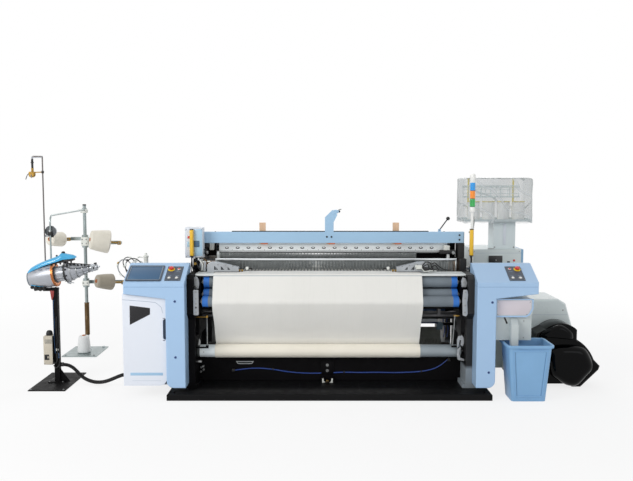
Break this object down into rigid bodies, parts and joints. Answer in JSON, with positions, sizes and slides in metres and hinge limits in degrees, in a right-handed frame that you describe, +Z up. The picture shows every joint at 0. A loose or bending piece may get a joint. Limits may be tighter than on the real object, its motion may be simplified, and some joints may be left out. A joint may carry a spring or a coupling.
{
  "type": "power loom",
  "caption": "Air-jet power loom with side frames, sley and reed, heald frames, warp beam, take-up rollers, covers, weft feeder, package creel, control cabinet, spool rack and waste bin.",
  "frame": {"origin": "on the floor under the middle of the base platform", "axes": "+X to the weaver's right along the rollers, +Y from the cloth side to the warp side, +Z up"},
  "size_m": [4.8948, 1.888, 1.88],
  "materials": {
    "platform_black": "satin black paint",
    "frame_black": "satin black paint on castings",
    "frame_grey": "grey paint on castings",
    "beam_grey": "pale grey paint",
    "beam_blue": "light-blue paint",
    "guide_wood": "oiled hardwood",
    "bracket_grey": "grey paint",
    "cover_blue": "pale blue powder coat",
    "housing_white": "white powder coat",
    "door_white": "cool white powder coat",
    "housing_grey": "grey powder coat",
    "hood_grey": "light grey powder coat",
    "hood_black": "glossy black",
    "panel_dark": "slate panel with a glass screen",
    "button_red": "glossy red",
    "key_white": "glossy white",
    "key_blue": "pale blue",
    "curtain_yellow": "yellow housing",
    "lamp_plastic": "clear coloured lamp segments",
    "cabinet_grey": "pale grey powder coat",
    "cabinet_blue": "pale blue powder coat",
    "switch_black": "black rotary switch",
    "lever_steel": "dark rod with a black ball",
    "shaft_iron": "dark cast iron",
    "beam_aluminium": "drawn aluminium",
    "reed_steel": "steel reed",
    "nozzle_steel": "turned steel",
    "heald_aluminium": "anodised rails",
    "wire_steel": "steel strip",
    "roller_chrome": "ground and plated",
    "beam_iron": "cast flanges on a steel tube",
    "warp_cotton": "cotton warp",
    "cloth_cotton": "white cotton cloth",
    "temple_aluminium": "cast aluminium",
    "roller_blue": "grey cover with blue ends",
    "roller_emery": "grey emery cover",
    "roll_cotton": "wound cloth on a pale core",
    "hose_blue": "dark-blue air hose",
    "stand_black": "black paint",
    "feeder_shell": "silver housing with a blue top shell",
    "feeder_copper": "copper-coloured ring",
    "hose_black": "black corrugated hose",
    "creel_steel": "grey-green paint",
    "cone_cotton": "cream yarn on paper cones",
    "bin_blue": "light-blue plastic",
    "rack_white": "white paint",
    "bobbin_cotton": "white yarn with yellow end discs",
    "film_clear": "thin clear film"
  },
  "bodies": {
    "machine": {"base_platform": "platform_black", "left_side_frame": "frame_black", "right_side_frame": "frame_grey", "cross_rails": "frame_black", "breast_beam": "beam_grey", "top_beam": "beam_blue", "heald_guides": "guide_wood", "roller_brackets": "bracket_grey", "left_cover": "cover_blue", "left_housing": "housing_white", "right_cover": "cover_blue", "right_housing": "housing_grey", "drive_cover": "hood_grey", "motor_cover": "hood_black", "operator_panels": "panel_dark", "light_curtain": "curtain_yellow", "signal_tower": "lamp_plastic", "cabinet": "cabinet_grey", "drop_wires": "wire_steel", "warp_sheet": "warp_cotton", "cloth_sheet": "cloth_cotton", "temples": "temple_aluminium", "air_hoses": "hose_blue", "feeder_stand": "stand_black", "weft_feeder": "feeder_shell", "corrugated_hose": "hose_black", "creel_stand": "creel_steel", "yarn_cones": "cone_cotton", "waste_bin": "bin_blue", "bobbin_rack": "rack_white", "rack_bobbins": "bobbin_cotton", "film_cover": "film_clear"},
    "sley": {"sley_shaft": "shaft_iron", "sley_beam": "beam_aluminium", "reed": "reed_steel", "main_nozzle": "nozzle_steel"},
    "heald_1": {"heald_frame_1": "heald_aluminium"},
    "heald_2": {"heald_frame_2": "heald_aluminium"},
    "heald_3": {"heald_frame_3": "heald_aluminium"},
    "heald_4": {"heald_frame_4": "heald_aluminium"},
    "beam": {"warp_beam": "beam_iron", "warp_yarn": "warp_cotton"},
    "back_rest": {"back_rest_roller": "roller_chrome"},
    "guide": {"guide_roller": "roller_blue"},
    "surface": {"surface_roller": "roller_emery"},
    "press": {"press_roller": "roller_emery"},
    "roll": {"cloth_roll": "roll_cotton"},
    "door": {"left_door": "door_white"},
    "cabinet_lid": {"cabinet_door": "cabinet_blue"},
    "switch": {"main_switch": "switch_black"},
    "lever": {"hand_lever": "lever_steel"},
    "disc": {"feeder_disc": "feeder_copper"},
    "left_stop": {"left_stop_button": "button_red"},
    "left_push_1": {"left_key_1": "key_white"},
    "left_push_2": {"left_key_2": "key_blue"},
    "left_push_3": {"left_key_3": "key_blue"},
    "right_stop": {"right_stop_button": "button_red"},
    "right_push_1": {"right_key_1": "key_white"},
    "right_push_2": {"right_key_2": "key_blue"},
    "right_push_3": {"right_key_3": "key_blue"}
  },
  "joints": [
    {"name": "sley_swing", "type": "hinge", "parent": "machine", "child": "sley", "pos_m": [0, -0.3, 0.56], "axis": [1, 0, 0], "range_deg": [0, 13]},
    {"name": "heald_1_lift", "type": "slide", "parent": "machine", "child": "heald_1", "axis": [0, 0, 1], "range_m": [-0.05, 0.05]},
    {"name": "heald_2_lift", "type": "slide", "parent": "machine", "child": "heald_2", "axis": [0, 0, 1], "range_m": [-0.05, 0.05]},
    {"name": "heald_3_lift", "type": "slide", "parent": "machine", "child": "heald_3", "axis": [0, 0, 1], "range_m": [-0.05, 0.05]},
    {"name": "heald_4_lift", "type": "slide", "parent": "machine", "child": "heald_4", "axis": [0, 0, 1], "range_m": [-0.05, 0.05]},
    {"name": "warp_beam_turn", "type": "hinge", "parent": "machine", "child": "beam", "pos_m": [0, 0.52, 0.45], "axis": [1, 0, 0], "continuous": true},
    {"name": "back_rest_turn", "type": "hinge", "parent": "machine", "child": "back_rest", "pos_m": [0, 0.69, 0.8712], "axis": [1, 0, 0], "continuous": true},
    {"name": "guide_roller_turn", "type": "hinge", "parent": "machine", "child": "guide", "pos_m": [0, -0.6, 0.88], "axis": [1, 0, 0], "continuous": true},
    {"name": "surface_roller_turn", "type": "hinge", "parent": "machine", "child": "surface", "pos_m": [0, -0.61717, 0.78296], "axis": [1, 0, 0], "continuous": true},
    {"name": "press_roller_turn", "type": "hinge", "parent": "machine", "child": "press", "pos_m": [0, -0.692, 0.738], "axis": [1, 0, 0], "continuous": true},
    {"name": "cloth_roll_turn", "type": "hinge", "parent": "machine", "child": "roll", "pos_m": [0, -0.56, 0.316], "axis": [1, 0, 0], "continuous": true},
    {"name": "left_door_swing", "type": "hinge", "parent": "machine", "child": "door", "pos_m": [-1.5823, -0.785, 0.44], "axis": [0, 0, -1], "range_deg": [0, 100]},
    {"name": "cabinet_door_swing", "type": "hinge", "parent": "machine", "child": "cabinet_lid", "pos_m": [1.704, 0.5653, 0.56], "axis": [0, 0, 1], "range_deg": [0, 110]},
    {"name": "main_switch_turn", "type": "hinge", "parent": "machine", "child": "switch", "pos_m": [1.482, 0.09, 0.968], "axis": [0, 1, 0], "range_deg": [0, 90]},
    {"name": "hand_lever_tilt", "type": "hinge", "parent": "machine", "child": "lever", "pos_m": [0.922, -0.281, 1.27], "axis": [0, 1, 0], "range_deg": [-72, 0]},
    {"name": "feeder_disc_turn", "type": "hinge", "parent": "machine", "child": "disc", "pos_m": [-2.256, -0.345, 0.906], "axis": [0.9848, 0, 0.1736], "continuous": true},
    {"name": "left_stop_push", "type": "slide", "parent": "machine", "child": "left_stop", "axis": [0, 0.4386, -0.8987], "range_m": [0, 0.004]},
    {"name": "left_key_1_push", "type": "slide", "parent": "machine", "child": "left_push_1", "axis": [0, 0.4386, -0.8987], "range_m": [0, 0.003], "stiffness_N_per_m": 800},
    {"name": "left_key_2_push", "type": "slide", "parent": "machine", "child": "left_push_2", "axis": [0, 0.4386, -0.8987], "range_m": [0, 0.003], "stiffness_N_per_m": 800},
    {"name": "left_key_3_push", "type": "slide", "parent": "machine", "child": "left_push_3", "axis": [0, 0.4386, -0.8987], "range_m": [0, 0.003], "stiffness_N_per_m": 800},
    {"name": "right_stop_push", "type": "slide", "parent": "machine", "child": "right_stop", "axis": [0, 0.4386, -0.8987], "range_m": [0, 0.004]},
    {"name": "right_key_1_push", "type": "slide", "parent": "machine", "child": "right_push_1", "axis": [0, 0.4386, -0.8987], "range_m": [0, 0.003], "stiffness_N_per_m": 800},
    {"name": "right_key_2_push", "type": "slide", "parent": "machine", "child": "right_push_2", "axis": [0, 0.4386, -0.8987], "range_m": [0, 0.003], "stiffness_N_per_m": 800},
    {"name": "right_key_3_push", "type": "slide", "parent": "machine", "child": "right_push_3", "axis": [0, 0.4386, -0.8987], "range_m": [0, 0.003], "stiffness_N_per_m": 800}
  ],
  "couplings": [
    {"joint": "heald_2_lift", "follows": "heald_1_lift", "ratio": -1},
    {"joint": "heald_3_lift", "follows": "heald_1_lift", "ratio": 1},
    {"joint": "heald_4_lift", "follows": "heald_1_lift", "ratio": -1},
    {"joint": "back_rest_turn", "follows": "warp_beam_turn", "ratio": 3.6},
    {"joint": "guide_roller_turn", "follows": "warp_beam_turn", "ratio": 6},
    {"joint": "press_roller_turn", "follows": "warp_beam_turn", "ratio": 6.4286},
    {"joint": "surface_roller_turn", "follows": "warp_beam_turn", "ratio": -6},
    {"joint": "cloth_roll_turn", "follows": "warp_beam_turn", "ratio": -5}
  ]
}
